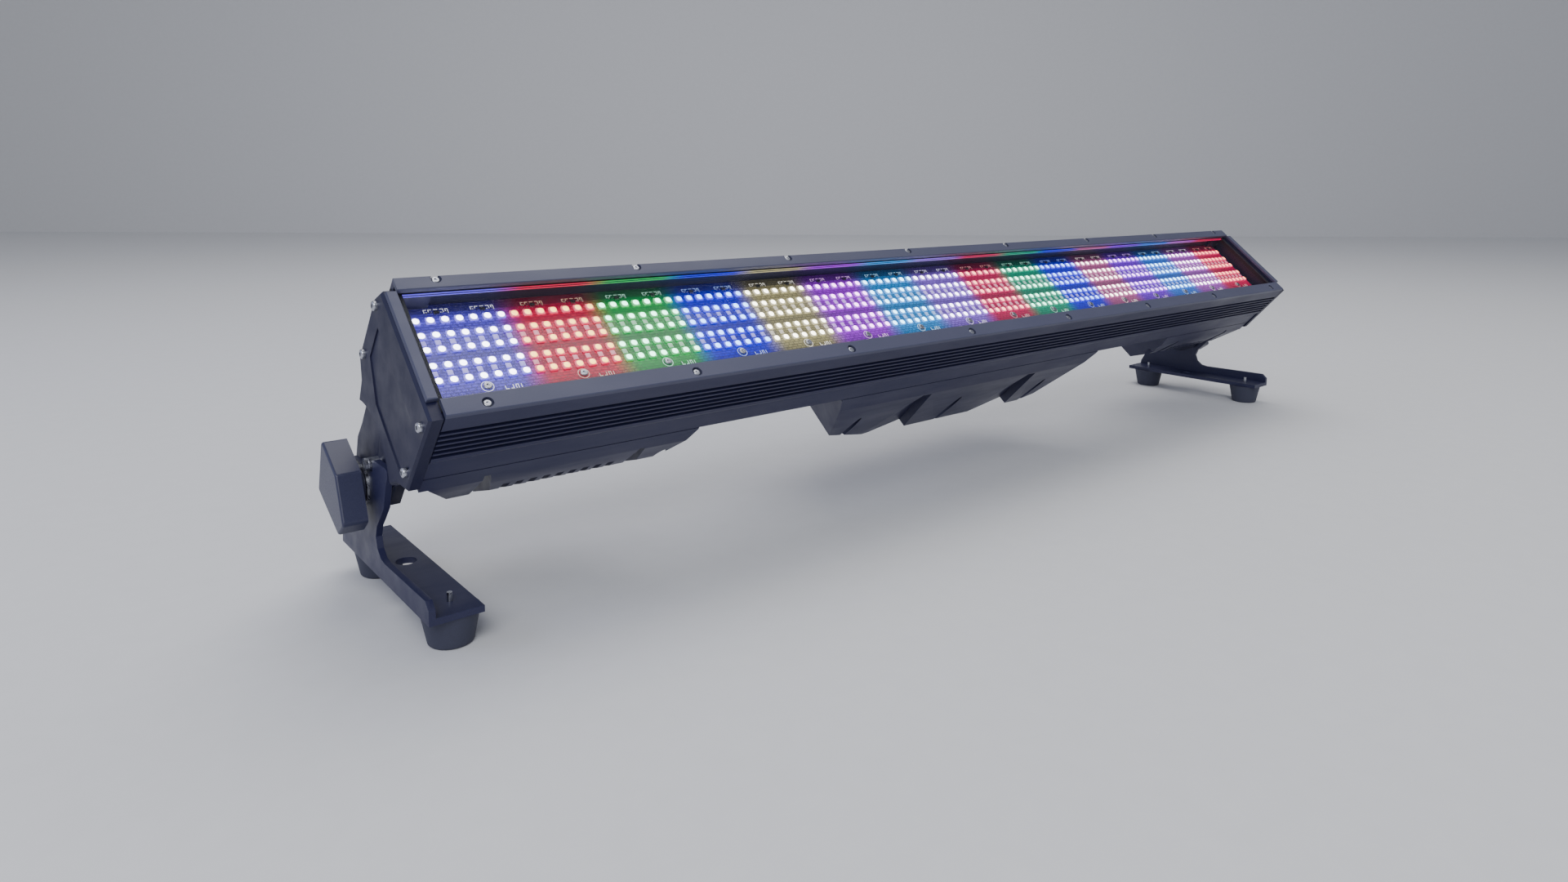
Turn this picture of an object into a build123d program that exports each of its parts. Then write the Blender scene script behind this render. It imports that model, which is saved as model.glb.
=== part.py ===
"""LED strip batten: a tilting stage light bar on two clamped floor brackets.

X runs along the bar, +Z is up and the window looks towards -Y and up.
The origin is on the floor, under the middle of the whole outline. Pieces are drawn
with their pivot axis over the origin and moved back by PIVOT_Y when they are saved.
The lamp housing is drawn flat (window up, pivot axis at the origin) and then tilted.
"""
import os
from math import cos, radians, sin

from build123d import *

# ---- driving dimensions, mm -------------------------------------------------
TILT = 40.5            # window tilt from facing straight up, held at the stop
PIVOT_Z = 73.0         # pivot axis above the floor
PIVOT_Y = 35.606       # pivot axis behind the middle of the outline
HALF_L = 505.5         # half length of the aluminium housing
HALF_W = 51.5          # half width of the housing
FACE_N = 133.0         # window rail face above the pivot axis
LED_N = 112.4          # top of the LED boards
COVER_N = 73.0         # joint between housing and rear covers
WALL_Y = 47.0          # inner face of the window trough
CAP_OUT = 514.0        # outer face of an end cap
POCKET_X = 508.5       # floor of the bracket pocket in an end cap
POCKET_R = 55.0        # radius of that pocket about the pivot
NECK_R = 26.0          # end cap neck round the pivot
ARM_IN = 509.5         # inner face of a bracket arm
ARM_T = 4.0            # bracket plate thickness
ARM_OUT = ARM_IN + ARM_T
ARM_TOP = 21.0         # top of the arm's front horn above the pivot
ARM_SEAT = 12.8        # lower part of the arm top, under the stop pin
STOP_R = 22.5          # stop pin centre from the pivot
STOP_PIN_R = 4.0
PLATE_TOP = 24.0       # top of a foot plate above the floor
PLATE_IN = 481.5       # inner edge of a foot plate
PLATE_FRONT = -110.0
PLATE_REAR = 54.0
FOOT_X = 495.0         # rubber foot centre line
FOOT_YS = (-92.0, 33.5)
FOOT_SCREW_R = 1.6
MOUNT_HOLE_Y = -18.0
MOUNT_HOLE_R = 6.5
STUD_R = 5.0           # M10 pivot stud
RUN_CLEAR = 0.08       # radial running clearance on the stud
KNOB_IN = 519.0        # inner face of the knob grip
KNOB_OUT = 534.0
GROOVE_NS = [117.5, 113.0, 108.5, 104.1, 99.8, 95.4]
GROOVE_W = 3.0
GROOVE_D = 2.0
RAIL_SCREW_XS = [s * x for x in (481.0, 342.0, 205.2, 68.4) for s in (-1, 1)]
RAIL_TOP_Y = (41.5, HALF_W)
RAIL_BOTTOM_Y = (-HALF_W, -39.5)
RAIL_SCREW_YS = (48.8, -46.4)
LED_PITCH = 8.9
BOARD_COUNT = 4
BOARD_L = 28 * LED_PITCH - 0.3
BOX_HALF = 178.0       # driver box half length at the housing
COVER_INNER = 315.0    # inner end of a rear cover at the housing
SCREW_R = 1.5          # M3 shank

os.makedirs("parts", exist_ok=True)
TILTED = Pos(0, 0, PIVOT_Z) * Rot(TILT, 0, 0)
AT_PIVOT = Pos(0, 0, PIVOT_Z)


def save(node, shape):
    """Write one node to its own STEP file."""
    export_step(Pos(0, PIVOT_Y, 0) * shape, f"parts/{node}.step")


def block(x0, x1, y0, y1, z0, z1):
    """Box between six limits."""
    centre = Pos((x0 + x1) / 2, (y0 + y1) / 2, (z0 + z1) / 2)
    return centre * Box(abs(x1 - x0), abs(y1 - y0), abs(z1 - z0))


def prism_x(points, x0, x1):
    """Extrude a closed (y, z) outline along X from x0 to x1."""
    outline = Polyline(*[(y, z) for y, z in points], close=True)
    face = make_face(outline)
    plane = Plane(origin=(x0, 0, 0), x_dir=(0, 1, 0), z_dir=(1, 0, 0))
    return extrude(plane * face, x1 - x0)


def rod_x(radius, x0, x1, y=0.0, z=0.0):
    """Cylinder along X."""
    return Pos((x0 + x1) / 2, y, z) * Rot(0, 90, 0) * Cylinder(radius, abs(x1 - x0))


def rod_z(radius, z0, z1, x=0.0, y=0.0):
    """Cylinder along Z."""
    return Pos(x, y, (z0 + z1) / 2) * Cylinder(radius, abs(z1 - z0))


def rod_y(radius, y0, y1, x=0.0, z=0.0):
    """Cylinder along Y."""
    return Pos(x, (y0 + y1) / 2, z) * Rot(90, 0, 0) * Cylinder(radius, abs(y1 - y0))


def mirrored(shape):
    """The same piece on the other end of the bar."""
    return mirror(shape, about=Plane.YZ)


def both_ways(points):
    """Symmetric outline from the points of its +Y half, listed top to bottom."""
    return points + [(-y, z) for y, z in reversed(points)]


def save_pair(node, shape, placement):
    """Write the right-hand piece and its mirrored left-hand twin."""
    save(f"right_{node}", placement * shape)
    save(f"left_{node}", placement * mirrored(shape))


# ---- aluminium housing ------------------------------------------------------
outer = both_ways([(HALF_W, FACE_N - 3), (HALF_W, 91.0), (HALF_W - 1.2, 88.0), (HALF_W - 1.2, COVER_N)])
housing = prism_x(outer, -HALF_L, HALF_L)
housing -= block(-HALF_L, HALF_L, -WALL_Y, WALL_Y, LED_N - 1.6, FACE_N)
for side, ledge_y in ((-1, 41.0), (1, 43.5)):
    housing += block(-HALF_L, HALF_L, side * ledge_y, side * (WALL_Y + 0.5), 123.0, 126.0)
    for groove_n in GROOVE_NS:
        housing -= block(-HALF_L, HALF_L, side * (HALF_W - GROOVE_D), side * (HALF_W + 1),
                         groove_n - GROOVE_W / 2, groove_n + GROOVE_W / 2)
housing -= block(-HALF_L, HALF_L, -WALL_Y, WALL_Y, COVER_N - 1, 104.8)
for fin in range(-4, 5):
    housing += block(-HALF_L, HALF_L, fin * 10 - 1.0, fin * 10 + 1.0, 86.0, 106.0)
for side in (-1, 1):
    housing += block(-HALF_L, HALF_L, side * 42.0, side * (WALL_Y + 0.5), COVER_N, COVER_N + 4)
    for screw_x in RAIL_SCREW_XS:
        screw_y = RAIL_SCREW_YS[0] if side > 0 else RAIL_SCREW_YS[1]
        if side < 0:
            housing += block(screw_x - 6, screw_x + 6, -WALL_Y - 0.5, -42.5, 112.0, 126.0)
        housing -= rod_z(SCREW_R, 119.0, FACE_N, screw_x, screw_y)
WINDOW_SLOT = 126.0
housing -= block(-HALF_L, HALF_L, -WALL_Y, WALL_Y, WINDOW_SLOT, FACE_N)
CAP_SCREWS = [(45.0, 117.0), (-45.0, 117.0), (44.5, 75.0), (-44.5, 75.0)]
for side in (-1, 1):
    for screw_y, screw_n in CAP_SCREWS:
        boss_y = 43.5 if screw_y > 0 else -43.5
        if screw_n > 100:
            housing += block(side * (HALF_L - 22), side * HALF_L, boss_y, screw_y * WALL_Y / abs(screw_y) * 1.01,
                             screw_n - 4.2, screw_n + 6.5)
        housing -= rod_x(SCREW_R, side * (HALF_L - 16), side * HALF_L, screw_y, screw_n)

# ---- window: rails, end bars, glass, gasket, screws -------------------------
for node, (y0, y1), screw_y in (("window_rail_top", RAIL_TOP_Y, RAIL_SCREW_YS[0]),
                                ("window_rail_bottom", RAIL_BOTTOM_Y, RAIL_SCREW_YS[1])):
    rail = block(-HALF_L, HALF_L, y0, y1, FACE_N - 3, FACE_N)
    rail = chamfer(rail.edges().filter_by(Axis.X).group_by(Axis.Z)[-1], 0.5)
    for screw_x in RAIL_SCREW_XS:
        rail -= rod_z(SCREW_R + 0.2, FACE_N - 4, FACE_N, screw_x, screw_y)
        rail -= rod_z(3.4, FACE_N - 2.0, FACE_N + 1, screw_x, screw_y)
    save(node, TILTED * rail)

rail_screws = []
for screw_x in RAIL_SCREW_XS:
    for screw_y in RAIL_SCREW_YS:
        head = rod_z(2.4, FACE_N - 2.0, FACE_N - 0.7, screw_x, screw_y)
        head -= rod_z(1.2, FACE_N - 1.4, FACE_N, screw_x, screw_y)
        rail_screws.append(TILTED * (head + rod_z(SCREW_R, 121.0, FACE_N - 2.0, screw_x, screw_y)))
save("rail_screws", Compound(rail_screws))

end_bar = block(506.0, 512.5, -39.2, 41.2, FACE_N - 3, FACE_N)
end_bar = chamfer(end_bar.edges().group_by(Axis.Z)[-1], 0.5)
save_pair("end_bar", end_bar, TILTED)

GLASS_Y = (-44.4, 46.5)
glass = block(-HALF_L + 0.5, HALF_L - 0.5, *GLASS_Y, WINDOW_SLOT + 1.0, FACE_N - 3)
save("window_glass", TILTED * glass)
gasket = block(-HALF_L + 0.5, HALF_L - 0.5, *GLASS_Y, WINDOW_SLOT, WINDOW_SLOT + 1.0)
gasket -= block(-HALF_L + 4, HALF_L - 4, -41.2, 43.6, WINDOW_SLOT - 1, WINDOW_SLOT + 2)
save("window_gasket", TILTED * gasket)

# ---- LED boards and their screws --------------------------------------------
board_screws = []
for index in range(BOARD_COUNT):
    centre_x = (index - (BOARD_COUNT - 1) / 2) * 28 * LED_PITCH
    board = block(centre_x - BOARD_L / 2, centre_x + BOARD_L / 2, -42.2, 46.8, LED_N - 1.6, LED_N)
    for step in (-1.5, -0.5, 0.5, 1.5):
        screw_x = centre_x + step * 7 * LED_PITCH
        board -= rod_z(1.7, LED_N - 3, LED_N + 1, screw_x, -20.5)
        shank = rod_z(1.5, LED_N - 5.5, LED_N, screw_x, -20.5)
        board_screws.append(TILTED * (shank + rod_z(2.7, LED_N, LED_N + 1.4, screw_x, -20.5)))
        housing -= rod_z(1.5, LED_N - 6, LED_N - 1, screw_x, -20.5)
    save(f"led_board_{index + 1}", TILTED * board)
save("board_screws", Compound(board_screws))

# ---- end caps with a pocket for the bracket arm -----------------------------
cap_outline = [(44.0, FACE_N - 3), (50.5, 118.0), (50.5, 66.0), (40.0, 56.0), (36.0, 40.0), (35.0, 18.0),
               (36.0, 2.0), (30.0, -14.0), (15.0, -23.0), (0.0, -NECK_R), (-15.0, -20.0), (-NECK_R, 0.0),
               (-NECK_R, 33.0), (-38.0, 55.0), (-HALF_W, 66.0), (-HALF_W, FACE_N - 3)]
cap = prism_x(cap_outline, HALF_L + 0.8, CAP_OUT)
cap = chamfer(cap.faces().sort_by(Axis.X)[-1].outer_wire().edges(), 1.5)
cap -= rod_x(POCKET_R, POCKET_X, CAP_OUT + 1)
cap_panel = [(-34.0, 108.0), (-33.6, 90.0), (-46.5, 84.5), (-46.5, 81.0), (-39.0, 66.0), (12.0, 66.0),
             (36.0, 82.0), (36.0, 108.0)]
cap -= prism_x(cap_panel, CAP_OUT - 0.9, CAP_OUT + 1)
cap += prism_x(both_ways([(12.0, 32.0), (12.0, -11.0)]), 492.0, HALF_L + 0.8)
cap -= rod_x(STUD_R, 499.0, CAP_OUT)
cap -= rod_x(8.5, 490.0, 499.0)
cap -= rod_x(3.0, 500.0, POCKET_X, 0, STOP_R - 4)
cap -= block(505.0, 512.6, -39.3, 41.3, FACE_N - 3, FACE_N)
for screw_y, screw_n in CAP_SCREWS:
    cap -= rod_x(SCREW_R + 0.2, HALF_L, CAP_OUT, screw_y, screw_n)
save_pair("end_cap", cap, TILTED)

cap_gasket_half = [(HALF_W - 1.5, 125.5), (HALF_W - 1.5, COVER_N + 0.5)]
cap_gasket = prism_x(both_ways(cap_gasket_half), HALF_L, HALF_L + 0.8)
cap_gasket -= block(HALF_L - 1, HALF_L + 2, -43.0, 43.0, 79.0, 121.0)
for screw_y, screw_n in CAP_SCREWS:
    cap_gasket -= rod_x(SCREW_R + 0.2, HALF_L - 1, HALF_L + 2, screw_y, screw_n)
save_pair("cap_gasket", cap_gasket, TILTED)

cap_screws = []
for screw_y, screw_n in CAP_SCREWS:
    cap_screw = rod_x(SCREW_R, HALF_L - 12, CAP_OUT, screw_y, screw_n)
    cap_head = rod_x(3.0, CAP_OUT, CAP_OUT + 2.4, screw_y, screw_n)
    cap_head -= rod_x(1.3, CAP_OUT + 1.0, CAP_OUT + 3, screw_y, screw_n)
    cap_screws += [TILTED * (cap_screw + cap_head), TILTED * mirrored(cap_screw + cap_head)]
save("end_cap_screws", Compound(cap_screws))

# ---- pivot studs, friction washers, stop pins --------------------------------
stud = rod_x(STUD_R, 499.0, 529.0) + rod_x(8.0, 493.0, 499.0)
save_pair("pivot_stud", stud, AT_PIVOT)
friction = rod_x(16.0, POCKET_X, ARM_IN - 0.3) - rod_x(STUD_R + 0.02, POCKET_X - 1, ARM_IN)
save_pair("friction_washer", friction, AT_PIVOT)
stop_pin = rod_x(STOP_PIN_R, POCKET_X, 517.0, 0, STOP_R)
stop_pin -= rod_x(STOP_PIN_R + 1, 514.7, 515.5, 0, STOP_R) - rod_x(STOP_PIN_R - 0.5, 514, 516, 0, STOP_R)
stop_pin -= rod_x(2.0, 514.5, 518.0, 0, STOP_R)
stop_pin += rod_x(3.0, 501.0, POCKET_X, 0, STOP_R - 4)
save("stop_pins", Compound([TILTED * stop_pin, TILTED * mirrored(stop_pin)]))

# ---- rear end covers ----------------------------------------------------------
SEAM_D = 1.0           # shadow gap under the housing
SEAM_H = 0.8
seam_half = [(HALF_W - 1.2 - SEAM_D, COVER_N), (HALF_W - 1.2 - SEAM_D, COVER_N - SEAM_H),
             (HALF_W - 1.2, COVER_N - SEAM_H)]
cover_half = seam_half + [(50.0, 59.0), (42.5, 34.0), (27.5, 11.0)]
cavity_half = [(40.0, COVER_N), (39.0, 59.0), (33.0, 38.0), (23.0, 16.0)]
cover = prism_x(both_ways(cover_half), COVER_INNER, HALF_L)
cover -= prism_x(both_ways(cavity_half), 364.0, 447.0)
cover -= prism_x(both_ways([(40.0, 74.0), (40.0, 66.0)]), COVER_INNER + 10, HALF_L - 8)
inner_slope = Polyline((COVER_INNER - 1, COVER_N), (COVER_INNER - 1, 5), (COVER_INNER + 27, 5), close=True)
cover -= extrude(Plane.XZ * make_face(inner_slope), 60, both=True)
end_slope = Polyline((464.6, 10.5), (HALF_L + 1, 10.5), (HALF_L + 1, 60.0), (500.0, 60.0), close=True)
cover -= extrude(Plane.XZ * make_face(end_slope), 60, both=True)
for notch in ([(467, -5), (467, 64), (463, 64), (454, 34), (454, -5)],
              [(358, -5), (358, 60), (354, 60), (347, 34), (347, -5)]):
    cover -= extrude(Plane.XZ * make_face(Polyline(*notch, close=True)), 60, both=True)
for side in (-1, 1):
    for fin in range(9):
        fin_x = 371.0 + fin * 9.3
        cover -= Pos(fin_x, side * 35.0, 22.5) * Rot(side * -33, 0, 0) * Box(5.0, 9.0, 44.0)
COVER_SCREWS = [(330.0, 42.5), (330.0, -42.5), (490.0, 42.5), (490.0, -42.5)]
for screw_x, screw_y in COVER_SCREWS:
    cover -= rod_z(SCREW_R + 0.2, 30.0, COVER_N + 1, screw_x, screw_y)
    cover -= rod_z(3.4, 5.0, 60.0, screw_x, screw_y)
save_pair("rear_cover", cover, TILTED)

cover_screws = []
for screw_x, screw_y in COVER_SCREWS:
    screw = rod_z(SCREW_R, 60.0, COVER_N + 3.5, screw_x, screw_y) + rod_z(3.0, 57.5, 60.0, screw_x, screw_y)
    cover_screws += [TILTED * screw, TILTED * mirrored(screw)]
    housing -= rod_z(SCREW_R, COVER_N - 1, COVER_N + 5, screw_x, screw_y)
    housing -= rod_z(SCREW_R, COVER_N - 1, COVER_N + 5, -screw_x, screw_y)
save("cover_screws", Compound(cover_screws))

# ---- driver box ---------------------------------------------------------------
BOX_BOTTOM = -8.0
box_half = seam_half + [(50.0, 56.0), (40.0, BOX_BOTTOM)]
box_cavity = [(36.0, COVER_N + 1), (36.0, 56.0), (30.6, 14.0)]
box_well = [(30.6, 15.0), (28.0, -5.0)]
driver_box = prism_x(both_ways(box_half), -BOX_HALF, BOX_HALF)
driver_box -= prism_x(both_ways(box_cavity), -BOX_HALF + 42, BOX_HALF - 42)
driver_box -= prism_x(both_ways(box_well), -86.0, 120.0)
for side in (-1, 1):
    slope = Polyline((side * (BOX_HALF + 1), COVER_N - 1), (side * (BOX_HALF + 1), -11),
                     (side * (BOX_HALF - 38), -11), close=True)
    driver_box -= extrude(Plane.XZ * make_face(slope), 60, both=True)
for corner in ([(-152, 10), (-90, BOX_BOTTOM), (-90, -11), (-152, -11)], [(152, 4), (127, BOX_BOTTOM), (127, -11), (152, -11)]):
    driver_box -= extrude(Plane.XZ * make_face(Polyline(*corner, close=True)), 60, both=True)
for ramp_x in (-60.0, 90.0):
    rings = []
    for start, wall, face_y, ramp_n in ((-11.0, 0.0, -49.8, 54.0), (-44.0, 18.0, -39.4, -12.0)):
        rings.append(Wire.make_polygon([(ramp_x + start, face_y, ramp_n), (ramp_x + start, face_y - 6, ramp_n),
                                        (ramp_x + wall, face_y - 6, ramp_n), (ramp_x + wall, face_y + 8, ramp_n)]))
    driver_box -= Solid.make_loft(rings, ruled=True)
PANEL_Y = 43.0
panel_recess = block(-112.0, 112.0, PANEL_Y, 60.0, 6.0, 50.0)
driver_box -= panel_recess
PORTS = [("power_inlet", -92.0, 13.0), ("power_outlet", -58.0, 13.0),
         ("data_inlet", 58.0, 10.0), ("data_outlet", 88.0, 10.0)]
PORT_N = 28.0
for port, port_x, port_r in PORTS:
    driver_box -= rod_y(port_r - 3.0, 20.0, PANEL_Y + 1, port_x, PORT_N)
driver_box -= block(-26.0, 26.0, 20.0, PANEL_Y + 1, 12.0, 44.0)
BOX_SCREWS = [(x, y) for x in (-130.0, 0.0, 130.0) for y in (-43.0, 43.0)]
for screw_x, screw_y in BOX_SCREWS:
    driver_box -= rod_z(SCREW_R + 0.2, 40.0, COVER_N + 1, screw_x, screw_y)
    driver_box -= rod_z(3.4, -20.0, 60.0, screw_x, screw_y)
    housing -= rod_z(SCREW_R, COVER_N - 1, COVER_N + 5, screw_x, screw_y)

box_screws = []
for screw_x, screw_y in BOX_SCREWS:
    screw = rod_z(SCREW_R, 60.0, COVER_N + 3.5, screw_x, screw_y) + rod_z(3.0, 57.5, 60.0, screw_x, screw_y)
    box_screws.append(TILTED * screw)
save("box_screws", Compound(box_screws))

# ---- power supplies, control board, sockets and display ------------------------
supply = block(370.0, 444.0, -21.0, 21.0, 61.0, 86.0)
save_pair("power_supply", supply, TILTED)
control_board = block(-84.0, 100.0, 16.0, 17.6, -5.0, 50.0)
save("control_board", TILTED * control_board)

for port, port_x, port_r in PORTS:
    socket = rod_y(port_r, PANEL_Y, PANEL_Y + 3.0, port_x, PORT_N)
    socket += rod_y(port_r - 3.2, 24.0, PANEL_Y, port_x, PORT_N)
    socket += rod_y(port_r - 2.0, PANEL_Y + 3.0, PANEL_Y + 6.5, port_x, PORT_N)
    socket -= rod_y(port_r - 4.5, PANEL_Y - 8.0, PANEL_Y + 7.5, port_x, PORT_N)
    save(port, TILTED * socket)

BUTTON_XS = (-15.0, -5.0, 5.0, 15.0)
BUTTON_N = 17.5
panel = block(-30.0, 30.0, PANEL_Y, PANEL_Y + 2.0, 8.0, 48.0)
panel += block(-25.5, 25.5, PANEL_Y - 4.0, PANEL_Y, 12.5, 43.5)
panel -= block(-16.0, 16.0, PANEL_Y - 5.0, PANEL_Y + 3, 26.0, 42.0)
for button_x in BUTTON_XS:
    panel -= rod_y(3.0, PANEL_Y - 5.0, PANEL_Y + 3.0, button_x, BUTTON_N)
save("control_panel", TILTED * panel)
save("display_window", TILTED * block(-16.0, 16.0, PANEL_Y - 1.0, PANEL_Y + 1.5, 26.0, 42.0))
for index, button_x in enumerate(BUTTON_XS):
    button = rod_y(2.94, PANEL_Y - 3.0, PANEL_Y + 3.2, button_x, BUTTON_N)
    button += rod_y(3.9, PANEL_Y - 6.0, PANEL_Y - 4.3, button_x, BUTTON_N)
    button += rod_y(2.94, PANEL_Y - 4.3, PANEL_Y - 3.0, button_x, BUTTON_N)
    save(f"menu_button_{index + 1}", TILTED * button)
switches = [block(x - 3, x + 3, 17.6, PANEL_Y - 8.0, BUTTON_N - 3, BUTTON_N + 3) for x in BUTTON_XS]
save("button_switches", Compound([TILTED * switch for switch in switches]))

# ---- safety eye on the back of the driver box -----------------------------------
eye = Pos(145.0, 56.0, 40.0) * Rot(0, 90, 0) * Torus(9.0, 2.5)
eye += rod_y(2.5, 40.0, 48.5, 145.0, 40.0)
driver_box -= rod_y(2.5, 40.0, 60.0, 145.0, 40.0)
driver_box -= Pos(145.0, 56.0, 40.0) * Rot(0, 90, 0) * Torus(9.0, 3.0)
save("driver_box", TILTED * driver_box)
save("safety_eye", TILTED * eye)
save("housing_extrusion", TILTED * housing)

# ---- floor brackets ---------------------------------------------------------------
plate_low = PLATE_TOP - ARM_T - PIVOT_Z
arm_outline = [(PLATE_FRONT, plate_low), (PLATE_REAR, plate_low), (PLATE_REAR - 1, -45.0), (39.0, -20.0),
               (30.0, 2.0), (25.0, ARM_SEAT), (-18.9, ARM_SEAT), (-18.9, ARM_TOP), (-50.0, ARM_TOP),
               (-43.0, 8.0), (-38.5, -5.0), (-31.0, -13.0),
               (-23.5, -20.5), (-20.5, -28.0), (-23.0, -35.0), (-29.0, -39.5), (-36.0, -40.5),
               (PLATE_FRONT + 5, -39.5), (PLATE_FRONT, -44.0)]
bracket = prism_x(arm_outline, ARM_IN, ARM_OUT)
bracket = fillet(bracket.edges().filter_by(Axis.X).group_by(Axis.Z)[-1], 4.0)
bracket += block(PLATE_IN, ARM_IN + 0.5, PLATE_FRONT, PLATE_REAR, plate_low, plate_low + ARM_T)
bracket -= rod_x(STUD_R + RUN_CLEAR, ARM_IN - 1, ARM_OUT + 1)
bracket -= rod_z(MOUNT_HOLE_R, plate_low - 1, plate_low + ARM_T + 1, FOOT_X, MOUNT_HOLE_Y)
for foot_y in FOOT_YS:
    bracket -= rod_z(FOOT_SCREW_R + 0.1, plate_low - 1, plate_low + ARM_T + 1, FOOT_X, foot_y)
save_pair("bracket_plate", bracket, AT_PIVOT)

arm_washer = rod_x(13.0, ARM_OUT, ARM_OUT + 1.5) - rod_x(STUD_R + RUN_CLEAR, ARM_OUT - 1, ARM_OUT + 2)
save_pair("arm_washer", arm_washer, AT_PIVOT)

for side, name in ((1, "right"), (-1, "left")):
    feet = []
    foot_screws = []
    for foot_y in FOOT_YS:
        foot = Pos(side * FOOT_X, foot_y, 10.0) * Cone(13.0, 17.0, PLATE_TOP - ARM_T)
        foot = fillet(foot.edges().group_by(Axis.Z)[0], 2.0)
        foot -= rod_z(6.0, -1.0, 6.0, side * FOOT_X, foot_y)
        foot -= rod_z(FOOT_SCREW_R + 0.1, 0.0, 21.0, side * FOOT_X, foot_y)
        feet.append(foot)
        foot_screw = rod_z(FOOT_SCREW_R, 6.0, PLATE_TOP + 5.3, side * FOOT_X, foot_y)
        foot_screws.append(foot_screw + rod_z(4.5, 3.0, 6.0, side * FOOT_X, foot_y))
    save(f"{name}_rubber_feet", Compound(feet))
    save(f"{name}_foot_screws", Compound(foot_screws))

# ---- clamp knobs --------------------------------------------------------------------
knob_outline = [(14.0, 29.5), (-15.0, 13.5), (-27.0, -15.0), (-15.5, -24.0), (26.0, -5.5)]
grip = prism_x(knob_outline, KNOB_IN, KNOB_OUT)
grip = fillet(grip.edges().filter_by(Axis.X), 3.0)
grip = fillet(grip.faces().sort_by(Axis.X)[-1].outer_wire().edges(), 1.5)
grip += rod_x(11.0, ARM_OUT + 1.8, KNOB_IN)
grip -= rod_x(8.0, ARM_OUT + 1, 530.6)
save_pair("knob_grip", grip, AT_PIVOT)
insert = rod_x(8.0, ARM_OUT + 1.8, 530.6) - rod_x(STUD_R + RUN_CLEAR, ARM_OUT, 529.3)
save_pair("knob_insert", insert, AT_PIVOT)
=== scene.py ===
"""LED strip batten: the looks of a tilting stage light bar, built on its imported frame."""
import math

import bmesh
import bpy
from mathutils import Matrix, Vector


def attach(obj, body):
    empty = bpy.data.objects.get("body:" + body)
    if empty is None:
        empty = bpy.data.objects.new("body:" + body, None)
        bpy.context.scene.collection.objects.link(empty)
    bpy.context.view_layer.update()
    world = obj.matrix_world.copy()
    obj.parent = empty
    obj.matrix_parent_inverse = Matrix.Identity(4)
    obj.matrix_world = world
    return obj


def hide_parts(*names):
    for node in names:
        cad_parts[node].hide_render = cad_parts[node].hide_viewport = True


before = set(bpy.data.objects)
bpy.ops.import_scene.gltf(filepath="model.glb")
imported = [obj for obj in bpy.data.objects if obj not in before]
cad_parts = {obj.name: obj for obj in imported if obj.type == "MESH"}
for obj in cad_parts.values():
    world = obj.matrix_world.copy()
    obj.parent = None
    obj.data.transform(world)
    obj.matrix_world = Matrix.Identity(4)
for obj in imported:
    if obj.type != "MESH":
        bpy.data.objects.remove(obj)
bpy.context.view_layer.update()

# ---- camera, floor, backdrop and soft boxes ----------------------------------
# A low three-quarter view from the left of the bar. Pale seamless paper runs
# under the feet and up behind; three soft boxes light it evenly.
camera_data = bpy.data.cameras.new("camera")
camera_data.sensor_width = 36.0
camera_data.lens = 21.951
camera_data.shift_x = 0.00899
camera_data.shift_y = -0.09511
camera_data.clip_start = 0.02
camera = bpy.data.objects.new("camera", camera_data)
bpy.context.scene.collection.objects.link(camera)
camera.location = (-0.68623, -0.57941, 0.26384)
camera.rotation_mode = "QUATERNION"
camera.rotation_quaternion = (0.703457, 0.626347, -0.225357, -0.249103)
bpy.context.scene.camera = camera


def new_material(name, colour, roughness, metallic=0.0, specular=0.5, coat=0.0):
    """A Principled material with its plain values set on its own sockets."""
    material = bpy.data.materials.new(name)
    material.use_nodes = True
    shader = material.node_tree.nodes["Principled BSDF"]
    shader.inputs["Base Color"].default_value = (*colour, 1.0)
    shader.inputs["Roughness"].default_value = roughness
    shader.inputs["Metallic"].default_value = metallic
    shader.inputs["Specular IOR Level"].default_value = specular
    shader.inputs["Coat Weight"].default_value = coat
    return material, material.node_tree.nodes, material.node_tree.links, shader


def object_point(nodes):
    """The place on the object, in metres."""
    return nodes.new("ShaderNodeTexCoord").outputs["Object"]


def noise_value(nodes, links, point, scale, detail=2.0, stretch=(1, 1, 1)):
    """Soft noise from 0 to 1; scale is in cells per metre."""
    mapping = nodes.new("ShaderNodeMapping")
    mapping.inputs["Scale"].default_value = stretch
    noise = nodes.new("ShaderNodeTexNoise")
    noise.inputs["Scale"].default_value = scale
    noise.inputs["Detail"].default_value = detail
    links.new(point, mapping.inputs["Vector"])
    links.new(mapping.outputs["Vector"], noise.inputs["Vector"])
    return noise.outputs["Fac"]


def ranged(nodes, links, value, low, high, from_low=0.3, from_high=0.7):
    """A value spread between two limits."""
    spread = nodes.new("ShaderNodeMapRange")
    spread.inputs["From Min"].default_value = from_low
    spread.inputs["From Max"].default_value = from_high
    spread.inputs["To Min"].default_value = low
    spread.inputs["To Max"].default_value = high
    links.new(value, spread.inputs["Value"])
    return spread.outputs["Result"]


def two_tone(nodes, links, shader, factor, colour_a, colour_b):
    """Base colour wandering between two shades."""
    mix = nodes.new("ShaderNodeMix")
    mix.data_type = "RGBA"
    mix.inputs["A"].default_value = (*colour_a, 1.0)
    mix.inputs["B"].default_value = (*colour_b, 1.0)
    links.new(factor, mix.inputs["Factor"])
    links.new(mix.outputs["Result"], shader.inputs["Base Color"])


def bumped(nodes, links, shader, height, strength, distance):
    """Fine relief in the surface."""
    bump = nodes.new("ShaderNodeBump")
    bump.inputs["Strength"].default_value = strength
    bump.inputs["Distance"].default_value = distance
    links.new(height, bump.inputs["Height"])
    links.new(bump.outputs["Normal"], shader.inputs["Normal"])


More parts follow.
